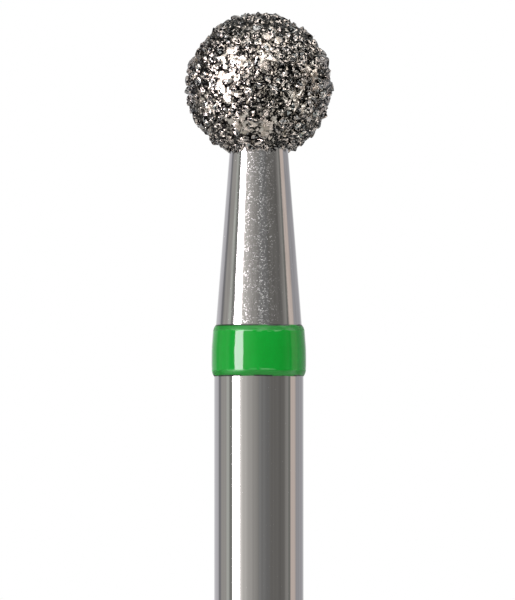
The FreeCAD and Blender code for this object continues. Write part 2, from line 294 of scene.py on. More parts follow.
def dress(piece: bpy.types.Object, material: bpy.types.Material, slot: Slot, node: str) -> None:
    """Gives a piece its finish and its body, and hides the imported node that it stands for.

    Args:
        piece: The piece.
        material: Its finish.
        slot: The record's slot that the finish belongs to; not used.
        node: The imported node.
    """
    piece.data.materials.append(material)
    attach(piece, BODY)
    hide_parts(node)
    LOG.info("%s: %d faces, %s", piece.name, len(piece.data.polygons), material.name)


@dataclass(frozen=True)
class Span:
    """Two limits of a value, and what it gives at and past each, with a soft change between."""

    start: float
    end: float
    low: float = 0.0
    high: float = 1.0


@dataclass(frozen=True)
class Grain:
    """How fine a noise is: the bumps to a unit of place, their detail and the stretch along each axis."""

    scale: float
    detail: float = 2.0
    roughness: float = 0.5
    stretch: Factors = (1.0, 1.0, 1.0)


@dataclass(frozen=True)
class Chance:
    """A share that is picked by chance round a usual value."""

    usual: float
    spread: float

    def pick(self, dice: random.Random) -> float:
        """Picks a share from 0 to 1."""
        return min(1.0, max(0.0, dice.gauss(self.usual, self.spread)))


class Shader:
    """The node tree of a material or a world, with short ways to add and join its nodes."""

    def __init__(self, owner: bpy.types.Material | bpy.types.World) -> None:
        """Takes the owner's tree and empties it.

        Args:
            owner: The material or world.
        """
        owner.use_nodes = True
        self.tree = owner.node_tree
        self.tree.nodes.clear()

    def add(self, kind: str, **settings: object) -> bpy.types.Node:
        """Adds a node.

        Args:
            kind: The node's type.
            settings: Settings of its own, by name.

        Returns:
            The node.
        """
        node = self.tree.nodes.new(kind)
        for name, value in settings.items():
            setattr(node, name, value)
        return node

    def feed(self, socket: Socket, value: Input) -> None:
        """Joins an input to an output, or sets its value.

        Args:
            socket: The input.
            value: The output or the value.
        """
        if isinstance(value, Socket):
            self.tree.links.new(value, socket)
        else:
            socket.default_value = value

    def math(self, operation: str, first: Input, second: Input = 0.0, third: Input = 0.0) -> Socket:
        """Adds a calculation with numbers.

        Args:
            operation: The calculation.
            first: Its first number.
            second: Its second number, where it has one.
            third: Its third number, where it has one.

        Returns:
            The result.
        """
        node = self.add("ShaderNodeMath", operation=operation)
        for socket, value in zip(node.inputs, (first, second, third)):
            self.feed(socket, value)
        return node.outputs[0]

    def vector(self, operation: str, first: Input, second: Input = (0.0, 0.0, 0.0)) -> Socket:
        """Adds a calculation with vectors.

        Args:
            operation: The calculation.
            first: Its first vector.
            second: Its second vector, or the number that SCALE takes.

        Returns:
            The result.
        """
        node = self.add("ShaderNodeVectorMath", operation=operation)
        self.feed(node.inputs[0], first)
        self.feed(node.inputs["Scale" if operation == "SCALE" else 1], second)
        return node.outputs["Value" if operation in ("LENGTH", "DOT_PRODUCT") else "Vector"]

    def span(self, value: Input, span: Span) -> Socket:
        """Turns a value into what a span gives for it.

        Args:
            value: The value.
            span: The span.

        Returns:
            The result.
        """
        node = self.add("ShaderNodeMapRange", interpolation_type="SMOOTHSTEP")
        settings = (value, span.start, span.end, span.low, span.high)
        for socket, setting in zip(node.inputs, settings):
            self.feed(socket, setting)
        return node.outputs[0]

    def between(self, value: Input, low: float, high: float, edge: float) -> Socket:
        """A share of 1 where a value lies between two limits.

        Args:
            value: The value.
            low: The lower limit.
            high: The upper limit.
            edge: How wide the soft change at each limit is.

        Returns:
            The share.
        """
        rise = self.span(value, Span(low - edge / 2, low + edge / 2))
        fall = self.span(value, Span(high - edge / 2, high + edge / 2, 1.0, 0.0))
        return self.math("MULTIPLY", rise, fall)

    def mix(self, share: Input, first: Input, second: Input, blend: str = "MIX") -> Socket:
        """Mixes two colours.

        Args:
            share: How much of the second colour is used.
            first: The first colour.
            second: The second colour.
            blend: The way of mixing.

        Returns:
            The mixed colour.
        """
        node = self.add("ShaderNodeMix", data_type="RGBA", blend_type=blend)
        self.feed(node.inputs["Factor"], share)
        colours = [socket for socket in node.inputs if socket.type == "RGBA"]
        for socket, colour in zip(colours, (first, second)):
            self.feed(socket, (*colour, 1.0) if isinstance(colour, tuple) else colour)
        return next(socket for socket in node.outputs if socket.type == "RGBA")

    def ramp(self, value: Input, stops: list[Stop]) -> Socket:
        """Turns a value from 0 to 1 into a colour.

        Args:
            value: The value.
            stops: The colours at chosen values. Between them the change is even.

        Returns:
            The colour.
        """
        node = self.add("ShaderNodeValToRGB")
        band = node.color_ramp.elements
        while len(band) < len(stops):
            band.new(0.5)
        for element, (place, colour) in zip(band, stops):
            element.position = place
            element.color = (*colour, 1.0)
        self.feed(node.inputs[0], value)
        return node.outputs[0]

    def mark(self, mark: Mark) -> Socket:
        """What the mesh holds under a mark."""
        return self.add("ShaderNodeAttribute", attribute_name=mark.value).outputs["Fac"]

    def parts(self, value: Input) -> bpy.types.NodeOutputs:
        """The X, Y and Z of a place or direction, each by its name.

        Args:
            value: The place or direction.

        Returns:
            The three numbers.
        """
        node = self.add("ShaderNodeSeparateXYZ")
        self.feed(node.inputs[0], value)
        return node.outputs

    def turn(self, parts: bpy.types.NodeOutputs) -> Socket:
        """The angle round the axis, in degrees, of a place or direction given by its parts."""
        toward = self.math("MULTIPLY", parts["Y"], -1.0)
        return self.math("DEGREES", self.math("ARCTAN2", parts["X"], toward))

    def place(self, stretch: Factors = (1.0, 1.0, 1.0)) -> Socket:
        """The place on the bur, in millimetres.

        Args:
            stretch: A factor along each axis.

        Returns:
            The place.
        """
        node = self.add("ShaderNodeMapping")
        self.feed(node.inputs["Vector"], self.add("ShaderNodeTexCoord").outputs["Object"])
        node.inputs["Scale"].default_value = [factor / MM for factor in stretch]
        return node.outputs[0]

    def noise(self, grain: Grain, place: Input | None = None) -> bpy.types.Node:
        """Adds noise whose values lie round its middle of 0.5.

        Args:
            grain: How fine the noise is.
            place: Where it is read, if not at the place on the bur.

        Returns:
            The node, which gives a number and a colour.
        """
        node = self.add("ShaderNodeTexNoise")
        self.feed(node.inputs["Vector"], self.place(grain.stretch) if place is None else place)
        node.inputs["Scale"].default_value = grain.scale
        node.inputs["Detail"].default_value = grain.detail
        node.inputs["Roughness"].default_value = grain.roughness
        return node

    def grain(self, grain: Grain, place: Input | None = None) -> Socket:
        """Noise as one number."""
        return self.noise(grain, place).outputs[0]

    def bump(self, height: Input, depth: float, under: Input | None = None) -> Socket:
        """The surface's direction over bumps.

        Args:
            height: How high the bumps are at a place, from 0 to 1.
            depth: The full height in metres.
            under: The direction that the bumps are laid over, if not the surface's own.

        Returns:
            The direction.
        """
        node = self.add("ShaderNodeBump")
        node.inputs["Distance"].default_value = depth
        self.feed(node.inputs["Height"], height)
        if under is not None:
            self.feed(node.inputs["Normal"], under)
        return node.outputs[0]

    def surface(self, **inputs: Input) -> None:
        """Ends a material in its surface.

        Args:
            inputs: The surface's inputs by name, with _ for each space.
        """
        shader = self.add("ShaderNodeBsdfPrincipled")
        for name, value in inputs.items():
            words = name.replace("_", " ")
            self.feed(shader.inputs[words], (*value, 1.0) if isinstance(value, tuple) else value)
        out = self.add("ShaderNodeOutputMaterial")
        self.feed(out.inputs["Surface"], shader.outputs[0])


@dataclass(frozen=True)
class SteelFinish:
    """Stainless steel: a polished shank with faint draw lines, and a satin neck, blasted at the front."""

    satin_from: float
    satin_edge: float = 0.05 * MM
    colour: Colour = (0.6, 0.592, 0.583)
    stained: Colour = (0.54, 0.53, 0.522)
    polished: float = 0.035
    satin: float = 0.05
    draw_lines: Grain = Grain(16.0, 3.0, 0.6, (1.0, 1.0, 0.001))
    line_depth: float = 0.0004 * MM
    stains: Span = Span(0.36, 0.64)
    clouds: Grain = Grain(2.2, 3.0)
    uneven_gloss: Span = Span(0.3, 0.7, -0.01, 0.01)
    pits: Grain = Grain(30.0, 1.0)
    pit_share: Span = Span(0.53, 0.62)
    pit_depth: float = 0.0007 * MM
    pit_matt: float = 0.23
    pit_patches: Grain = Grain(9.0)
    patch_share: Span = Span(0.4, 0.6, 0.6, 1.0)
    blast_start: Span = Span(-25.0, -17.0, 0.12, 1.0)
    blast_end: Span = Span(-6.0, 44.0, 1.0, 0.12)

    def pitted(self, shader: Shader, neck: Socket, turn: Socket) -> Socket:
        """How deeply a place is pitted by the blasting.

        Args:
            shader: The material's node tree.
            neck: Whether the place is on the neck.
            turn: The angle round the axis.

        Returns:
            A share from 0 to 1.
        """
        start, end = shader.span(turn, self.blast_start), shader.span(turn, self.blast_end)
        blasted = shader.math("MULTIPLY", neck, shader.math("MULTIPLY", start, end))
        pits = shader.span(shader.grain(self.pits), self.pit_share)
        patches = shader.span(shader.grain(self.pit_patches), self.patch_share)
        return shader.math("MULTIPLY", shader.math("MULTIPLY", pits, patches), blasted)

    def material(self) -> bpy.types.Material:
        """Builds the finish.

        Returns:
            The material.
        """
        made = bpy.data.materials.new("turned_steel")
        shader = Shader(made)
        parts = shader.parts(shader.place())
        fade = Span((self.satin_from - self.satin_edge) / MM, (self.satin_from + self.satin_edge) / MM)
        neck = shader.span(parts["Z"], fade)
        pitted = self.pitted(shader, neck, shader.turn(parts))
        lines = shader.grain(self.draw_lines)

        satin = shader.math("MULTIPLY", neck, self.satin - self.polished)
        matt = shader.math("ADD", satin, shader.math("MULTIPLY", pitted, self.pit_matt))
        uneven = shader.span(shader.grain(self.clouds), self.uneven_gloss)
        shader.surface(
            Base_Color=shader.mix(shader.span(lines, self.stains), self.colour, self.stained),
            Metallic=1.0,
            Roughness=shader.math("ADD", shader.math("ADD", matt, uneven), self.polished),
            Normal=shader.bump(pitted, self.pit_depth, shader.bump(lines, self.line_depth)),
        )
        return made


@dataclass(frozen=True)
class EnamelFinish:
    """Glossy enamel, brushed on and fired, a little uneven in depth, with thin matt rims, painted shade on
    the rims and a painted contact shadow, in broken patches, where it meets the steel.
    """

    colour: Colour = (0.0006, 0.345, 0.027)
    thick: Colour = (0.0006, 0.32, 0.023)
    # painted shade: a darker green for the rims, so that the bevels, which catch more light, read as dark as
    # the face
    painted_rim_shade: Colour = (0.003, 0.24, 0.018)
    # painted shadow: near-black green where the enamel meets the steel
    painted_contact_shadow: Colour = (0.002, 0.02, 0.004)
    highlight: Colour = (1.0, 0.82, 1.0)
    refraction: float = 1.5
    depth: Grain = Grain(3.0, stretch=(1.0, 1.0, 0.6))
    thick_share: Span = Span(0.35, 0.7)
    wave_depth: float = 0.002 * MM
    specks: Grain = Grain(26.0)
    speck_matt: Span = Span(0.3, 0.8, 0.03, 0.07)
    # where on the rim the painted shade starts and where it is full
    rim_shade_span: Span = Span(0.0, 0.12)
    matt_rim: Span = Span(0.0, 0.06, 0.0, 0.3)
    # where the painted contact shadow lies on the rim, and its broken patches
    contact_shadow_rim: Span = Span(0.55, 0.8)
    contact_shadow_patches: Grain = Grain(2.4)
    contact_shadow_share: Span = Span(0.44, 0.52)

    def material(self) -> bpy.types.Material:
        """Builds the finish.

        Returns:
            The material.
        """
        made = bpy.data.materials.new("green_enamel")
        shader = Shader(made)
        depth = shader.grain(self.depth)
        rim = shader.mark(Mark.RIM)
        tint = shader.mix(shader.span(depth, self.thick_share), self.colour, self.thick)
        # painted shade darkens the rims
        tint = shader.mix(shader.span(rim, self.rim_shade_span), tint, self.painted_rim_shade)
        # painted contact shadow, broken into patches, along the edges that lie on the steel
        broken = shader.span(shader.grain(self.contact_shadow_patches), self.contact_shadow_share)
        painted_shadow_line = shader.math("MULTIPLY", shader.span(rim, self.contact_shadow_rim), broken)
        specks = shader.span(shader.grain(self.specks), self.speck_matt)
        shader.surface(
            Base_Color=shader.mix(painted_shadow_line, tint, self.painted_contact_shadow),
            Roughness=shader.math("ADD", shader.span(rim, self.matt_rim), specks),
            IOR=self.refraction,
            Specular_Tint=self.highlight,
            Normal=shader.bump(depth, self.wave_depth),
        )
        return made


@dataclass(frozen=True)
class Smear:
    """A place on the head where the plating lies smoothly over the grit, as angles in degrees."""

    turn: float
    rise: float
    reach: float

    def direction(self) -> Vector:
        """The way from the ball's middle to the smear."""
        return pointing(self.turn, self.rise)


@dataclass(frozen=True)
class Plating:
    """What the bare nickel and the thinly plated grit share: rolls, creases, ridges and smears."""

    ball_centre: float
    smears: tuple[Smear, ...] = (
        Smear(-15.5, 17, 6.5),
        Smear(-21, 7, 5),
        Smear(-27, -6, 4),
        Smear(-27, 25, 4),
        Smear(-84, 31, 15),
        Smear(8, 20, 4.5),
        Smear(11, 39, 4),
        Smear(-18, -34, 4.5),
        Smear(7, -35, 4.5),
        Smear(-56, -16, 6),
        Smear(47, 6, 5.5),
        Smear(35, -13, 5),
    )
    smear_edge: float = 1.5
    ragged: Grain = Grain(7.0)
    wobble: Span = Span(0.3, 0.7, -9.0, 9.0)
    rolling: Grain = Grain(12.0, 0.0)
    creasing: Grain = Grain(13.0, 1.0)
    crease_width: Span = Span(0.062, 0.09)
    crease_depth: float = 0.004 * MM
    ridging: Grain = Grain(9.0, 1.0)
    ridge_offset: Factors = (31.0, 17.0, 5.0)
    ridge_width: Span = Span(0.03, 0.05, 1.0, 0.0)
    ridge: Colour = (0.68, 0.6, 0.53)
    pull: float = 2.2
    smear_pull: float = 3.0

    def outward(self, shader: Shader) -> Socket:
        """The way from the ball's middle to the place."""
        where = shader.add("ShaderNodeTexCoord").outputs["Object"]
        return shader.vector("NORMALIZE", shader.vector("SUBTRACT", where, (0.0, 0.0, self.ball_centre)))

    def smeared(self, shader: Shader) -> Socket:
        """Finds how far a place is smeared over.

        Args:
            shader: The material's node tree.

        Returns:
            A share from 0 to 1, whose edges are ragged.
        """
        ragged = shader.span(shader.grain(self.ragged), self.wobble)
        outward = self.outward(shader)
        share: Input = 0.0
        for smear in self.smears:
            cosine = shader.vector("DOT_PRODUCT", outward, tuple(smear.direction()))
            angle = shader.math("DEGREES", shader.math("ARCCOSINE", cosine))
            edge = Span(smear.reach + self.smear_edge, smear.reach - self.smear_edge)
            near = shader.span(shader.math("ADD", angle, ragged), edge)
            share = shader.math("MAXIMUM", share, near)
        return share

    def winding(self, shader: Shader, place: Socket, grain: Grain, width: Span) -> Socket:
        """Lines that wind over the head, where a noise is near its middle.

        Args:
            shader: The material's node tree.
            place: Where the noise is read.
            grain: How fine the noise is.
            width: How far from the noise's middle a line reaches, and what it gives there.

        Returns:
            What the lines give at a place.
        """
        away = shader.math("SUBTRACT", shader.grain(grain, place), NOISE_MIDDLE)
        return shader.span(shader.math("ABSOLUTE", away), width)

    def creases(self, shader: Shader, smeared: Input) -> Socket:
        """Creases between the rolls: 0 in each of them, and 1 beside them and on smears; both finishes paint
        shade into them.
        """
        lines = self.winding(shader, shader.place(), self.creasing, self.crease_width)
        return shader.math("MAXIMUM", smeared, lines)

    def ridges(self, shader: Shader) -> Socket:
        """Thin bright ridges of nickel: 1 on each of them, and 0 beside them."""
        moved = shader.vector("ADD", shader.place(), self.ridge_offset)
        return self.winding(shader, moved, self.ridging, self.ridge_width)

    def direction(self, shader: Shader, smeared: Input, tilt: Input) -> Socket:
        """The direction of a surface that rolls like poured metal over what lies under it.

        Args:
            shader: The material's node tree.
            smeared: How far the place is smeared over.
            tilt: How steep the rolls are.

        Returns:
            The direction.
        """
        pull = shader.math("ADD", shader.math("MULTIPLY", smeared, self.smear_pull), self.pull)
        own = shader.add("ShaderNodeNewGeometry").outputs["Normal"]
        own = shader.vector("ADD", own, shader.vector("SCALE", self.outward(shader), pull))
        poured = shader.noise(self.rolling).outputs["Color"]
        slopes = shader.vector("SUBTRACT", poured, (NOISE_MIDDLE, NOISE_MIDDLE, NOISE_MIDDLE))
        rolled = shader.vector("ADD", own, shader.vector("SCALE", slopes, tilt))
        return shader.vector("NORMALIZE", rolled)


@dataclass(frozen=True)
class NickelFinish:
    """Plated nickel: satin, a little yellow, with painted shade in the crevices round the crystals and along
    the plating's creases.
    """

    plating: Plating
    colour: Colour = (0.58, 0.54, 0.48)
    shaded: Colour = (0.4, 0.35, 0.29)
    # painted shade: near-black in the crevices round the crystals and along the creases
    painted_crevice_shade: Colour = (0.006, 0.006, 0.006)
    clouds: Grain = Grain(7.0, 3.0)
    shaded_share: Span = Span(0.35, 0.65)
    nodules: Grain = Grain(42.0)
    nodule_matt: Span = Span(0.3, 0.7, 0.06, 0.2)
    nodule_depth: float = 0.002 * MM
    roll_tilt: float = 5.0

    def material(self) -> bpy.types.Material:
        """Builds the finish.

        Returns:
            The material.
        """
        made = bpy.data.materials.new("plated_nickel")
        shader = Shader(made)
        nodules = shader.grain(self.nodules)
        clouds = shader.span(shader.grain(self.clouds), self.shaded_share)
        tint = shader.mix(clouds, self.colour, self.shaded)
        smeared = self.plating.smeared(shader)
        # share left unshaded: near a crystal or on a crease the nickel takes its painted shade, except on
        # smears
        bright = shader.math("MULTIPLY", shader.mark(Mark.SHADE_FREE), self.plating.creases(shader, smeared))
        facing = self.plating.direction(shader, smeared, self.roll_tilt)
        shader.surface(
            Base_Color=shader.mix(shader.math("MAXIMUM", bright, smeared), self.painted_crevice_shade, tint),
            Metallic=1.0,
            Roughness=shader.span(nodules, self.nodule_matt),
            Normal=shader.bump(nodules, self.nodule_depth, facing),
        )
        return made


@dataclass(frozen=True)
class DiamondFinish:
    """Natural diamond grit, thinly plated: a face is dark, cloudy or, where light turns back, a mirror, with
    painted shade in the plating's creases and on faces low between the crystals, and painted highlights on
    worn edges.
    """

    plating: Plating
    greys: tuple[tuple[float, float], ...] = (
        (0.0, 0.003),
        (0.3, 0.035),
        (0.55, 0.18),
        (0.8, 0.35),
        (1.0, 0.42),
    )
    hues: tuple[Stop, ...] = (
        (0.0, (1.0, 0.9, 0.8)),
        (0.3, (1.0, 0.97, 0.93)),
        (0.7, (0.98, 1.0, 0.97)),
        (1.0, (0.93, 1.0, 0.96)),
    )
    plated: Colour = (0.42, 0.37, 0.31)
    # painted shade: near-black for the plating's creases
    painted_crease_shade: Colour = (0.002, 0.002, 0.002)
    refraction: float = 1.5
    clouds: Grain = Grain(20.0)
    cloudiness: Span = Span(0.25, 0.75, -0.12, 0.12)
    growth: Grain = Grain(46.0)
    growth_matt: Span = Span(0.3, 0.7, 0.03, 0.12)
    growth_depth: float = 0.0025 * MM
    smear_matt: float = 0.2
    mirror_share: Span = Span(0.45, 0.5)
    shuffle: float = 7.3
    covering: Span = Span(0.1, 0.4, 0.2, 1.0)
    roll_tilt: float = 5.0

    def stone(self, shader: Shader) -> Socket:
        """The bare crystal's colour: its face's value, painted shade and highlights included, in the
        crystal's own hue.

        Args:
            shader: The material's node tree.

        Returns:
            The colour.
        """
        clouds = shader.span(shader.grain(self.clouds), self.cloudiness)
        value = shader.math("ADD", shader.mark(Mark.FACET), clouds)
        light = shader.ramp(value, [(place, (grey, grey, grey)) for place, grey in self.greys])
        return shader.mix(1.0, light, shader.ramp(shader.mark(Mark.CRYSTAL), list(self.hues)), "MULTIPLY")

    def tilt(self, shader: Shader) -> Socket:
        """How steep the plating's rolls are, which are lower on some crystals than on others.

        Args:
            shader: The material's node tree.

        Returns:
            The steepness.
        """
        shuffled = shader.math("MULTIPLY", shader.mark(Mark.CRYSTAL), self.shuffle)
        covered = shader.span(shader.math("FRACT", shuffled), self.covering)
        return shader.math("MULTIPLY", covered, self.roll_tilt)

    def material(self) -> bpy.types.Material:
        """Builds the finish.

        Returns:
            The material.
        """
        made = bpy.data.materials.new("diamond_crystal")
        shader = Shader(made)
        smeared = self.plating.smeared(shader)
        creases = self.plating.creases(shader, smeared)
        ridges = self.plating.ridges(shader)
        light = shader.mix(smeared, self.stone(shader), self.plated)
        # painted shade in the plating's creases
        light = shader.mix(creases, self.painted_crease_shade, light)
        light = shader.mix(ridges, light, self.plating.ridge)

        mirror = shader.span(shader.mark(Mark.MIRROR), self.mirror_share)
        metal = shader.math("MAXIMUM", ridges, shader.math("SUBTRACT", 1.0, creases))
        metal = shader.math("MAXIMUM", shader.math("MAXIMUM", smeared, mirror), metal)

        growth = shader.grain(self.growth)
        matt = shader.math("MULTIPLY", smeared, self.smear_matt)
        facing = self.plating.direction(shader, smeared, self.tilt(shader))
        facing = shader.bump(creases, self.plating.crease_depth, facing)
        shader.surface(
            Base_Color=light,
            Metallic=metal,
            Roughness=shader.math("ADD", matt, shader.span(growth, self.growth_matt)),
            IOR=self.refraction,
            Normal=shader.bump(growth, self.growth_depth, facing),
        )
        return made


@dataclass
class Blank:
    """The turned steel blank: shank, neck and the ball under the plating."""

    sizes: BurSizes
    segments: int = 320
    corner_steps: int = 6
    side_steps: int = 24
    ball_steps: int = 32
    name: str = "steel_blank_turned"
    node: str = "steel_blank"

    def outline(self) -> list[Point]:
        """The blank's outline, from the middle of its end to the top of its ball.

        Returns:
            Radius and height of each point.
        """
        s = self.sizes
        middle, foot = (0.0, 0.0), (s.shank_radius - s.end_chamfer, 0.0)
        side, past_side = (s.shank_radius, s.end_chamfer), (s.shank_radius, 2 * s.end_chamfer)
        shoulder = (s.shank_radius, s.shoulder)
        root = s.neck_meets_core()
        drop = math.atan2(root[1] - s.ball_centre, root[0])
        points = [middle]
        points += corner(middle, foot, side, s.end_edge_radius, self.corner_steps)
        points += corner(foot, side, shoulder, s.end_edge_radius, self.corner_steps)
        points += straight(past_side, shoulder, self.side_steps)
        points += straight(shoulder, root, self.side_steps)[1:]
        points += arc((0.0, s.ball_centre), s.core_radius, drop, math.pi / 2, self.ball_steps)[1:-1]
        return [*points, (0.0, s.ball_centre + s.core_radius)]

    def build(self) -> None:
        """Makes the blank and dresses it."""
        piece = turned(self.name, self.outline(), self.segments, False)
        dress(piece, SteelFinish(self.sizes.shoulder).material(), Slot.STEEL, self.node)


@dataclass
class ColourBand:
    """The enamel band, brushed over the shoulder, so that its edges wander a little."""

    sizes: BurSizes
    segments: int = 288
    edge_steps: int = 10
    bend_steps: int = 6
    face_steps: int = 8
    slope_steps: int = 6
    steel_steps: int = 4
    wander: float = 0.008 * MM
    wander_waves: float = 2.5
    fine_waves: float = 9.0
    fine_share: float = 0.4
    upper_offset: float = 3.0
    edge_power: int = 4
    ripple: float = 0.001 * MM
    ripple_waves: float = 4.0
    ripples_per_mm: float = 3.0
    pool: float = 0.05 * MM
    pool_turn: float = math.radians(-4)
    pool_spread: float = 0.42
    name: str = "colour_band_enamel"
    node: str = "colour_band"

    def outline(self) -> list[Point]:
        """The band's outline, up its outside and down the steel.

        Returns:
            Radius and height of each point.
        """
        s = self.sizes
        tilt = math.atan(s.neck_slope)
        sweep = math.acos(1 - s.band_thickness / s.band_edge_radius)
        top = s.shoulder + s.band_on_neck
        foot = (s.shank_radius, s.shoulder - s.band_on_shank)
        head = (s.neck_radius_at(top), top)
        across, along = Vector((math.cos(tilt), math.sin(tilt))), Vector((-math.sin(tilt), math.cos(tilt)))
        run = s.band_edge_radius * math.sin(sweep)
        inset = s.band_edge_radius - s.band_thickness
        low_centre = (foot[0] - inset, foot[1] + run)
        high_centre = Vector(head) - along * run - across * inset
        low = arc(low_centre, s.band_edge_radius, -sweep, 0.0, self.edge_steps)
        high = arc(tuple(high_centre), s.band_edge_radius, tilt, tilt + sweep, self.edge_steps)
        widest = s.shank_radius + s.band_thickness
        bend = corner(low[-1], (widest, s.shoulder), high[0], s.band_bend_radius, self.bend_steps)
        face = [self.crowned(point) for point in straight(low[-1], bend[0], self.face_steps)[1:-1]]
        slope = straight(bend[-1], high[0], self.slope_steps)[1:-1]
        shoulder = (s.shank_radius, s.shoulder)
        steel = straight(head, shoulder, self.steel_steps)[1:]
        steel += straight(shoulder, foot, self.steel_steps)[1:-1]
        return low + face + bend + slope + high + steel

    def crowned(self, point: Point) -> Point:
        """Moves a point of the face on the shank out to the face's slight bulge.

        Args:
            point: The point on a straight face.

        Returns:
            The point on the bulging one.
        """
        half = self.sizes.band_on_shank / 2
        away = point[1] - (self.sizes.shoulder - half)
        return point[0] + (half**2 - away**2) / (2 * self.sizes.band_crown_radius), point[1]

    def drift(self, outward: Vector, upper: bool) -> float:
        """How far one of the two edges strays at a place round the steel.

        Args:
            outward: The way from the axis to the place.
            upper: Whether it is the upper edge.

        Returns:
            A share of the band's wander, up or down.
        """
        offset = Vector((0, 0, self.upper_offset if upper else 0.0))
        coarse = noise.noise(outward * self.wander_waves + offset)
        return coarse + self.fine_share * noise.noise(outward * self.fine_waves + offset)

    def swell(self, place: Vector, outward: Vector, proud: float) -> float:
        """How far the enamel swells past its even layer: a pool at the front and a ripple all over.

        Args:
            place: The place on the band.
            outward: The way from the axis to the place.
            proud: How far the place stands out from the steel.

        Returns:
            The swell in metres.
        """
        turn = math.atan2(place.x, -place.y) - self.pool_turn
        height = Vector((0, 0, place.z / MM * self.ripples_per_mm))
        swell = self.pool * math.exp(-((turn / self.pool_spread) ** 2))
        swell += self.ripple * noise.noise(outward * self.ripple_waves + height)
        return swell * min(1.0, proud / self.sizes.band_thickness)

    def shape(self, piece: bpy.types.Object) -> None:
        """Lets the band's edges wander round the steel and its face swell, and marks its rims.

        Args:
            piece: The even band.
        """
        s = self.sizes
        middle = s.shoulder - (s.band_on_shank - s.band_on_neck) / 2
        half = (s.band_on_shank + s.band_on_neck) / 2
        rim = piece.data.attributes.new(Mark.RIM.value, "FLOAT", "POINT")
        for vertex in piece.data.vertices:
            place = vertex.co
            outward = Vector((place.x, place.y, 0)).normalized()
            share = (place.z - middle) / half
            shift = self.wander * self.drift(outward, share > 0) * share**self.edge_power
            base = s.shank_radius if place.z < s.shoulder else s.neck_radius_at(place.z)
            proud = math.hypot(place.x, place.y) - base
            rim.data[vertex.index].value = max(0.0, 1 - proud / s.band_thickness)
            lean = -s.neck_slope * shift if place.z > s.shoulder else 0.0
            out = self.swell(place, outward, proud) + lean
            vertex.co = place + outward * out + Vector((0, 0, shift))

    def build(self) -> None:
        """Makes the band and dresses it."""
        piece = turned(self.name, self.outline(), self.segments, True)
        self.shape(piece)
        dress(piece, EnamelFinish().material(), Slot.ENAMEL, self.node)


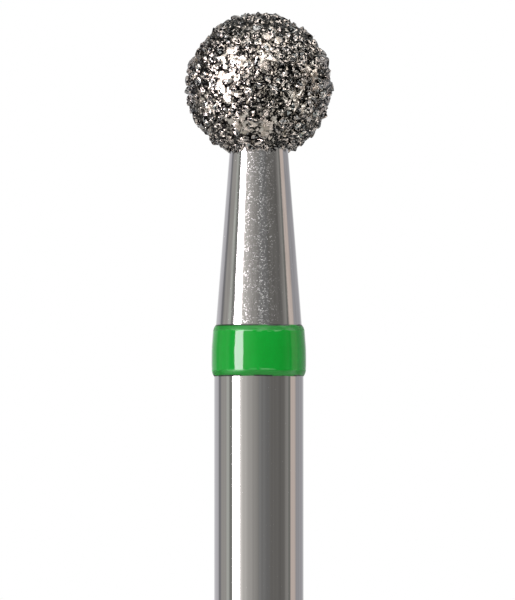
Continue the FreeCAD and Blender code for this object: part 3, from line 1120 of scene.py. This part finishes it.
@dataclass
class DiamondGrit:
    """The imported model's crystals, worn and chipped, with shards between them and a fringe at the neck."""

    sizes: BurSizes
    plating: Plating
    weld: float = 1e-4 * MM
    sort_digits: int = 8
    same_plane: float = math.radians(1.5)
    cut_tolerance: float = 1e-6 * MM
    fewest_chips: int = 3
    most_chips: int = 7
    shallow_chip: float = 0.008 * MM
    deep_chip: float = 0.032 * MM
    chip_lean: float = 0.7
    fewest_corners: int = 6
    worn_place: Smear = Smear(-87, 31, 13.5)
    worn_level: float = 1.238 * MM
    edge_wear: float = 0.008 * MM
    wear_over_weld: int = 20
    edge_face: float = 1.6
    # faces lower than this over the nickel fade into painted shade
    shade_height: float = 0.015 * MM
    mirror: Chance = Chance(0.5, 0.3)
    mirror_from: float = 0.35
    # the pick for mirror faces, as their reflectance, and for worn edges, as a painted highlight
    bright: Chance = Chance(0.8, 0.14)
    cloudy: Chance = Chance(0.55, 0.22)
    shard_tries: int = 2600
    shard_gap: float = 0.016 * MM
    shard_room: float = 0.75
    shard_stray: float = 0.3
    shard_corners: int = 9
    small_shard: float = 0.018 * MM
    large_shard: float = 0.036 * MM
    deep_shard: float = -0.1
    high_shard: float = 0.5
    fringe_crystals: int = 30
    fringe_corners: int = 8
    fringe_start: float = math.radians(26.5)
    fringe_end: float = math.radians(30.5)
    small_fringe: float = 0.042 * MM
    large_fringe: float = 0.092 * MM
    deep_fringe: float = 0.3
    high_fringe: float = 0.9
    seed: int = 11
    name: str = "diamond_grit_crystals"
    node: str = "diamond_grit"

    @property
    def centre(self) -> Vector:
        """The middle of the head."""
        return Vector((0, 0, self.sizes.ball_centre))

    def packed_crystals(self) -> list[list[Vector]]:
        """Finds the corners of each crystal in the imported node.

        Returns:
            A list of corners for each crystal, the lowest crystal first.
        """
        source = bmesh.new()
        source.from_mesh(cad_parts[self.node].data)
        bmesh.ops.remove_doubles(source, verts=source.verts, dist=self.weld)
        left = set(source.verts)
        crystals = []
        while left:
            reached = [left.pop()]
            for vertex in reached:
                for edge in vertex.link_edges:
                    other = edge.other_vert(vertex)
                    if other in left:
                        left.remove(other)
                        reached.append(other)
            crystals.append([vertex.co.copy() for vertex in reached])
        source.free()
        return sorted(crystals, key=self.seat_order)

    def seat_order(self, corners: list[Vector]) -> tuple[float, ...]:
        """The height of a crystal's middle and its place across, by which crystals are sorted."""
        middle = sum(corners, Vector()).zxy / len(corners)
        return tuple(round(value, self.sort_digits) for value in middle)

    def hull(self, corners: list[Vector]) -> Body:
        """Makes the convex body round some corners.

        Args:
            corners: The corners.

        Returns:
            The body, with one face to each of its planes.
        """
        body = bmesh.new()
        for place in corners:
            body.verts.new(place)
        bmesh.ops.convex_hull(body, input=body.verts)
        loose = [vertex for vertex in body.verts if not vertex.link_faces]
        bmesh.ops.delete(body, geom=loose, context="VERTS")
        bmesh.ops.dissolve_limit(body, angle_limit=self.same_plane, verts=body.verts, edges=body.edges)
        return body

    def cut(self, corners: list[Vector], place: Vector, way: Vector) -> list[Vector]:
        """Cuts off what lies past a plane.

        Args:
            corners: A crystal's corners.
            place: A point of the plane.
            way: The direction that is cut off.

        Returns:
            The corners that are left.
        """
        body = self.hull(corners)
        bmesh.ops.bisect_plane(
            body, geom=[*body.verts, *body.edges, *body.faces], dist=self.cut_tolerance,
            plane_co=place, plane_no=way, clear_outer=True,
        )
        kept = [vertex.co.copy() for vertex in body.verts]
        body.free()
        return kept

    def chip(self, corners: list[Vector], dice: random.Random) -> list[Vector]:
        """Breaks a small flat piece off a crystal.

        Args:
            corners: The crystal's corners.
            dice: The source of chance.

        Returns:
            The corners that it then has.
        """
        middle = sum(corners, Vector()) / len(corners)
        outward = (middle - self.centre).normalized()
        way = (any_way(dice) + outward * self.chip_lean).normalized()
        farthest = max(corners, key=lambda place: place.dot(way))
        depth = dice.uniform(self.shallow_chip, self.deep_chip)
        kept = self.cut(corners, farthest - way * depth, way)
        return kept if len(kept) >= self.fewest_corners else corners

    def ground(self, corners: list[Vector]) -> list[Vector]:
        """Grinds a crystal down to the flat spot, if it stands there.

        Args:
            corners: The crystal's corners.

        Returns:
            The corners that it then has.
        """
        way = self.worn_place.direction()
        seat = sum(corners, Vector()) / len(corners) - self.centre
        if seat.angle(way) > math.radians(self.worn_place.reach):
            return corners
        return self.cut(corners, self.centre + way * self.worn_level, way)

    def worn(self, corners: list[Vector], wear: float) -> Body:
        """Makes a crystal whose edges are worn to narrow faces.

        Args:
            corners: The crystal's corners.
            wear: How far the wear reaches from each edge.

        Returns:
            The crystal.
        """
        body = self.hull(corners)
        bmesh.ops.bevel(
            body, geom=[*body.verts, *body.edges], offset=wear, offset_type="OFFSET",
            segments=1, profile=0.5, affect="EDGES", clamp_overlap=True,
        )
        bmesh.ops.remove_doubles(body, verts=body.verts, dist=wear / self.wear_over_weld)
        return body

    def facet_tone_and_painted_light(self, face: bmesh.types.BMFace, dice: random.Random) -> tuple[float, float]:
        """Picks a face's colour value, random in tone, with a painted highlight on a worn edge and painted
        shade on a face low between the crystals.

        Args:
            face: The face.
            dice: The source of chance.

        Returns:
            The face's value, painted highlight and shade included, and how much of a mirror it is.
        """
        height = (face.calc_center_median() - self.centre).length - self.sizes.nickel_radius
        # painted shade: a face low between the crystals fades to black
        rise = min(1.0, max(0.0, height / self.shade_height))
        edge = 2 * face.calc_area() < self.edge_face * self.edge_wear * face.calc_perimeter()
        mirror = self.mirror.pick(dice)
        # a worn edge takes the bright pick as a painted highlight
        light = self.bright if edge or mirror > self.mirror_from else self.cloudy
        return light.pick(dice) * rise, mirror

    def splinter(self, seat: Vector, size: float, corners: int, dice: random.Random) -> list[Vector]:
        """Corners picked by chance, all as far from a seat as the splinter's size."""
        return [seat + any_way(dice) * size for _ in range(corners)]

    def shards(self, crystals: BVHTree, dice: random.Random) -> Iterator[list[Vector]]:
        """Small shards that the nickel holds between the crystals.

        Args:
            crystals: The crystals' faces, to keep clear of.
            dice: The source of chance.

        Yields:
            The corners of each shard.
        """
        lowest = self.sizes.neck_top + self.large_shard
        for i in range(self.shard_tries):
            rise = 1 - 2 * (i + dice.random()) / self.shard_tries
            turn = GOLDEN_ANGLE * i + dice.uniform(-self.shard_stray, self.shard_stray)
            flat = math.sqrt(max(0.0, 1 - rise**2))
            outward = Vector((flat * math.cos(turn), flat * math.sin(turn), rise))
            size = dice.uniform(self.small_shard, self.large_shard)
            height = size * dice.uniform(self.deep_shard, self.high_shard)
            seat = self.centre + outward * (self.sizes.nickel_radius + height)
            corners = self.splinter(seat, size, self.shard_corners, dice)
            _, _, _, gap = crystals.find_nearest(seat)
            if seat.z > lowest and gap > max(self.shard_gap, size * self.shard_room):
                yield corners

    def fringe(self, dice: random.Random) -> Iterator[list[Vector]]:
        """Crystals on the head's underside that hang a little over the neck, cut off where they meet it.

        Args:
            dice: The source of chance.

        Yields:
            The corners of each crystal.
        """
        for i in range(self.fringe_crystals):
            turn = math.tau * (i + dice.random()) / self.fringe_crystals
            drop = dice.uniform(self.fringe_start, self.fringe_end)
            wide = math.sin(drop)
            across = Vector((math.cos(turn), math.sin(turn), 0))
            outward = Vector((wide * math.cos(turn), wide * math.sin(turn), -math.cos(drop)))
            size = dice.uniform(self.small_fringe, self.large_fringe)
            height = size * dice.uniform(self.deep_fringe, self.high_fringe)
            seat = self.centre + outward * (self.sizes.nickel_radius + height)
            corners = self.splinter(seat, size, self.fringe_corners, dice)
            yield self.cut(corners, across * self.sizes.neck_radius_at(seat.z - size), -across)

    def join(self, whole: Body, body: Body, dice: random.Random) -> None:
        """Adds a crystal to the whole, with one value of its own and two for each of its faces.

        Args:
            whole: The mesh of all crystals.
            body: The crystal, which is used up.
            dice: The source of chance.
        """
        marks = (Mark.FACET, Mark.MIRROR, Mark.CRYSTAL)
        facet, mirror, crystal = (whole.faces.layers.float[mark.value] for mark in marks)
        own = dice.random()
        places = {vertex: whole.verts.new(vertex.co) for vertex in body.verts}
        for face in body.faces:
            added = whole.faces.new([places[vertex] for vertex in face.verts])
            added[facet], added[mirror] = self.facet_tone_and_painted_light(face, dice)
            added[crystal] = own
        body.free()

    def build(self) -> bpy.types.Object:
        """Makes the crystals and dresses them.

        Returns:
            The piece, which the nickel rises round.
        """
        dice = random.Random(self.seed)
        packed = self.packed_crystals()
        whole = bmesh.new()
        for mark in (Mark.FACET, Mark.CRYSTAL, Mark.MIRROR):
            whole.faces.layers.float.new(mark.value)
        for corners in packed:
            for _ in range(dice.randint(self.fewest_chips, self.most_chips)):
                corners = self.chip(corners, dice)
            self.join(whole, self.worn(self.ground(corners), self.edge_wear), dice)
        shards = list(self.shards(BVHTree.FromBMesh(whole), dice))
        for corners in shards:
            self.join(whole, self.worn(corners, self.edge_wear / 2), dice)
        for corners in self.fringe(dice):
            self.join(whole, self.worn(corners, self.edge_wear), dice)
        LOG.info("%d crystals, %d shards, %d in the fringe", len(packed), len(shards), self.fringe_crystals)
        piece = finished(self.name, whole)
        dress(piece, DiamondFinish(self.plating).material(), Slot.DIAMOND, self.node)
        return piece


@dataclass
class NickelBond:
    """The plated layer, which climbs a little round each crystal."""

    sizes: BurSizes
    plating: Plating
    crystals: bpy.types.Object
    segments: int = 360
    inner_steps: int = 24
    outer_steps: int = 170
    climb: float = 0.03 * MM
    climb_reach: float = 0.022 * MM
    # how far from a crystal the nickel's painted crevice shade reaches
    shade_width: float = 0.03 * MM
    unevenness: float = 0.006 * MM
    lumps_per_mm: float = 9.0
    name: str = "nickel_bond_plated"
    node: str = "nickel_bond"

    def outline(self) -> list[Point]:
        """The layer's outline, down the steel ball to the neck and up the outside to the top.

        Returns:
            Radius and height of each point.
        """
        s = self.sizes
        centre = (0.0, s.ball_centre)
        rim, root = (s.neck_radius, s.neck_top), s.neck_meets_core()
        outer_drop = math.atan2(rim[1] - s.ball_centre, rim[0])
        inner_drop = math.atan2(root[1] - s.ball_centre, root[0])
        inner = arc(centre, s.core_radius, math.pi / 2, inner_drop, self.inner_steps)
        outer = arc(centre, s.nickel_radius, outer_drop, math.pi / 2, self.outer_steps)
        return inner + outer

    def climb_crystals(self, piece: bpy.types.Object) -> None:
        """Raises the layer's outside where a crystal is near, and marks how far each place lies from the
        crystals, for the finish's painted crevice shade.

        Args:
            piece: The even layer.
        """
        centre = Vector((0, 0, self.sizes.ball_centre))
        inside = (self.sizes.nickel_radius + self.sizes.core_radius) / 2
        tree = BVHTree.FromObject(self.crystals, bpy.context.evaluated_depsgraph_get())
        unshaded_share = piece.data.attributes.new(Mark.SHADE_FREE.value, "FLOAT", "POINT")
        for vertex in piece.data.vertices:
            way = vertex.co - centre
            if way.length < inside:
                continue
            _, _, _, gap = tree.find_nearest(vertex.co)
            # 0 beside a crystal, where the finish paints shade, and 1 in the open
            unshaded_share.data[vertex.index].value = min(1.0, gap / self.shade_width)
            rise = self.climb * math.exp(-((gap / self.climb_reach) ** 2))
            rise += self.unevenness * noise.noise(vertex.co / MM * self.lumps_per_mm)
            vertex.co += way.normalized() * rise

    def build(self) -> None:
        """Makes the layer and dresses it."""
        piece = turned(self.name, self.outline(), self.segments, False)
        self.climb_crystals(piece)
        dress(piece, NickelFinish(self.plating).material(), Slot.NICKEL, self.node)


@dataclass(frozen=True)
class Wall:
    """A stretch of the studio, in degrees round the bur, whose light changes evenly along it."""

    start: float
    end: float
    first: float
    last: float
    tint: Colour = (1.0, 1.0, 1.0)

    def stops(self) -> list[Stop]:
        """The stretch's two ends, as places on the full turn with their colours."""
        colours = [tuple(level * share for share in self.tint) for level in (self.first, self.last)]
        return [((angle + HALF_TURN) / FULL_TURN, c) for angle, c in zip((self.start, self.end), colours)]


@dataclass(frozen=True)
class SoftBox:
    """A lamp box in the studio, as seen from the bur, with angles in degrees."""

    left: float
    right: float
    low: float
    high: float
    level: float
    edge: float = 1.5

    def share(self, shader: Shader, turn: Socket, rise: Socket) -> Socket:
        """How far a direction lies in the box.

        Args:
            shader: The world's node tree.
            turn: The direction's angle round the axis.
            rise: Its angle above level.

        Returns:
            A share from 0 to 1.
        """
        across = shader.between(turn, self.left, self.right, self.edge)
        up = shader.between(rise, self.low, self.high, 2 * self.edge)
        return shader.math("MULTIPLY", across, up)


@dataclass
class Studio:
    """The light, the floor and the camera."""

    white: Colour = (1.0, 1.0, 1.0)
    lilac: Colour = (0.98, 0.97, 1.03)
    umber: Colour = (1.03, 1.0, 0.96)
    moss: Colour = (1.0, 1.03, 0.97)
    rose: Colour = (1.13, 0.97, 0.89)
    lamp: Colour = (1.0, 0.93, 0.99)
    panes: Grain = Grain(3.6, 0.0)
    pane_share: Span = Span(0.45, 0.53)
    right_gain: Span = Span(-0.1, 0.5, 1.0, 2.1)
    back_loss: Span = Span(0.1, 0.5, 1.0, 0.2)
    ceiling_from: Span = Span(14.0, 19.0)
    ceiling_light: float = 1.8
    ceiling_gap: float = 0.06
    pit_from: Span = Span(-5.0, -10.0)
    pit_light: float = 1.45
    pit_gap: float = 0.03
    soft_turn: float = -33.0
    soft_rise: float = 20.0
    soft_light: Span = Span(-0.2, 0.2, 0.04, 1.2)
    floor_radius: float = 30 * MM
    floor_clear: float = 12 * MM
    floor_segments: int = 96
    floor_colour: tuple[float, ...] = (0.85, 0.85, 0.85, 1.0)
    distance: float = 150 * MM
    lift: float = -1.0
    aim_left_pixels: float = 1.37
    aim_height: float = 13.823 * MM
    sensor: float = 36.0
    nearest: float = 10 * MM
    farthest: float = 2000 * MM

    def walls(self) -> list[Wall]:
        """What stands round the bur, from behind it round its left side, the front and its right side.

        Returns:
            The stretches. Between two of them the light changes evenly.
        """
        return [
            Wall(-180, -172, 1.0, 1.0),
            Wall(-154, -130, 0.74, 0.64, self.lilac),
            Wall(-124, -117, 0.28, 0.28, self.lilac),
            Wall(-113, -94, 0.44, 0.46, self.umber),
            Wall(-90, -84, 0.64, 0.6, self.moss),
            Wall(-80.5, -77.5, 0.28, 0.28, self.moss),
            Wall(-48, -45, 1.0, 0.95, self.umber),
            Wall(-43, -24, 0.78, 0.51, self.umber),
            Wall(-20, -2, 0.49, 0.32, self.umber),
            Wall(2, 26, 0.29, 0.22),
            Wall(30, 64, 0.205, 0.185, self.umber),
            Wall(69, 80, 0.23, 0.38, self.umber),
            Wall(84.5, 87.5, 0.23, 0.23, self.moss),
            Wall(91, 106, 0.74, 0.68, self.rose),
            Wall(112, 150, 0.44, 0.51, self.lilac),
            Wall(172, 180, 1.0, 1.0),
        ]

    def boxes(self) -> list[SoftBox]:
        """The lamps: a tall strip on the left, a dimmer box beside its top, and a small one high in front.

        Returns:
            The lamp boxes, each laid over the ones before it.
        """
        return [
            SoftBox(-71, -50.5, -26, 36, 13.5),
            SoftBox(-52, -24, 22, 40, 6.0, 4.0),
            SoftBox(8, 32, 42, 60, 6.0, 3.0),
        ]

    def mirrored(self, shader: Shader, way_out: Socket) -> Socket:
        """What a shiny surface shows: the walls, the ceiling, the pit below and the lamp boxes.

        Args:
            shader: The world's node tree.
            way_out: The direction looked in.

        Returns:
            The light from there.
        """
        parts = shader.parts(way_out)
        turn = shader.turn(parts)
        rise = shader.math("DEGREES", shader.math("ARCSINE", parts["Z"]))
        share = shader.math("DIVIDE", shader.math("ADD", turn, HALF_TURN), FULL_TURN)
        colour = shader.ramp(share, [stop for wall in self.walls() for stop in wall.stops()])

        lit = shader.span(shader.grain(self.panes, way_out), self.pane_share)
        lit = shader.math("MULTIPLY", lit, shader.span(parts["X"], self.right_gain))
        lit = shader.math("MULTIPLY", lit, shader.span(parts["Y"], self.back_loss))
        ceiling = shader.math("MULTIPLY_ADD", lit, self.ceiling_light, self.ceiling_gap)
        pit = shader.math("MULTIPLY_ADD", lit, self.pit_light, self.pit_gap)
        colour = shader.mix(shader.span(rise, self.pit_from), colour, pit)
        colour = shader.mix(shader.span(rise, self.ceiling_from), colour, ceiling)
        for box in self.boxes():
            bright = tuple(box.level * share for share in self.lamp)
            colour = shader.mix(box.share(shader, turn, rise), colour, bright)
        return colour

    def light(self) -> None:
        """Builds the light as the world round the bur.

        The camera sees a plain white background, which stands behind the bur for shiny surfaces too.
        Matt surfaces are lit by a soft source that fills the half of the room on the camera's left.
        """
        world = bpy.data.worlds.new("studio")
        bpy.context.scene.world = world
        world.cycles.sampling_method = "NONE"
        shader = Shader(world)
        way_out = shader.add("ShaderNodeTexCoord").outputs["Generated"]
        source = tuple(pointing(self.soft_turn, self.soft_rise))
        soft = shader.span(shader.vector("DOT_PRODUCT", way_out, source), self.soft_light)

        path = shader.add("ShaderNodeLightPath").outputs
        colour = shader.mix(path["Is Diffuse Ray"], self.mirrored(shader, way_out), soft)
        clear = shader.math("MAXIMUM", path["Is Camera Ray"], path["Is Transmission Ray"])
        lit = shader.add("ShaderNodeBackground")
        shader.feed(lit.inputs["Color"], shader.mix(clear, colour, self.white))
        out = shader.add("ShaderNodeOutputWorld")
        shader.feed(out.inputs["Surface"], lit.outputs[0])

    def floor_paint(self) -> bpy.types.Material:
        """Makes the floor's matt paint, which fades out towards the rim.

        Returns:
            The material.
        """
        made = bpy.data.materials.new("pale_floor")
        shader = Shader(made)
        reach = shader.vector("LENGTH", shader.add("ShaderNodeTexCoord").outputs["Object"])
        paint = shader.add("ShaderNodeBsdfDiffuse")
        paint.inputs["Color"].default_value = self.floor_colour
        clear = shader.add("ShaderNodeBsdfTransparent")
        fade = shader.add("ShaderNodeMixShader")
        shader.feed(fade.inputs[0], shader.span(reach, Span(self.floor_clear, self.floor_radius)))
        shader.feed(fade.inputs[1], paint.outputs[0])
        shader.feed(fade.inputs[2], clear.outputs[0])
        out = shader.add("ShaderNodeOutputMaterial")
        shader.feed(out.inputs["Surface"], fade.outputs[0])
        return made

    def floor(self) -> None:
        """Lays a round pale floor under the shank."""
        made = bmesh.new()
        bmesh.ops.create_circle(
            made, cap_ends=True, segments=self.floor_segments, radius=self.floor_radius
        )
        piece = finished("floor", made)
        piece.data.materials.append(self.floor_paint())

    def camera(self) -> None:
        """Sets up a long lens by the neck, with the planned number of pixels to a millimetre."""
        data = bpy.data.cameras.new("camera")
        data.sensor_fit = "VERTICAL"
        data.sensor_height = self.sensor
        view_height = PICTURE_HEIGHT / PIXELS_PER_MM * MM
        data.lens = self.sensor * self.distance / view_height
        data.clip_start, data.clip_end = self.nearest, self.farthest
        aim = Vector((-self.aim_left_pixels / PIXELS_PER_MM * MM, 0, self.aim_height))
        back = pointing(0, self.lift)
        facing = back.to_track_quat("Z", "Y").to_matrix().to_4x4()
        camera = bpy.data.objects.new("camera", data)
        camera.matrix_world = Matrix.Translation(aim + back * self.distance) @ facing
        bpy.context.scene.collection.objects.link(camera)
        bpy.context.scene.camera = camera

    def build(self) -> None:
        """Sets up the whole studio."""
        bpy.context.scene.view_settings.view_transform = "Standard"
        self.light()
        self.floor()
        self.camera()
        LOG.info("studio: %d walls, %d lamp boxes", len(self.walls()), len(self.boxes()))


def main() -> None:
    """Builds the studio and then the bur, piece by piece."""
    logging.basicConfig(level=logging.INFO, format="%(name)s: %(message)s")
    sizes = BurSizes(top=CAD_BOX[1].z)
    Studio().build()
    Blank(sizes).build()
    ColourBand(sizes).build()
    plating = Plating(sizes.ball_centre)
    crystals = DiamondGrit(sizes, plating).build()
    NickelBond(sizes, plating, crystals).build()


if __name__ == "__main__":
    main()
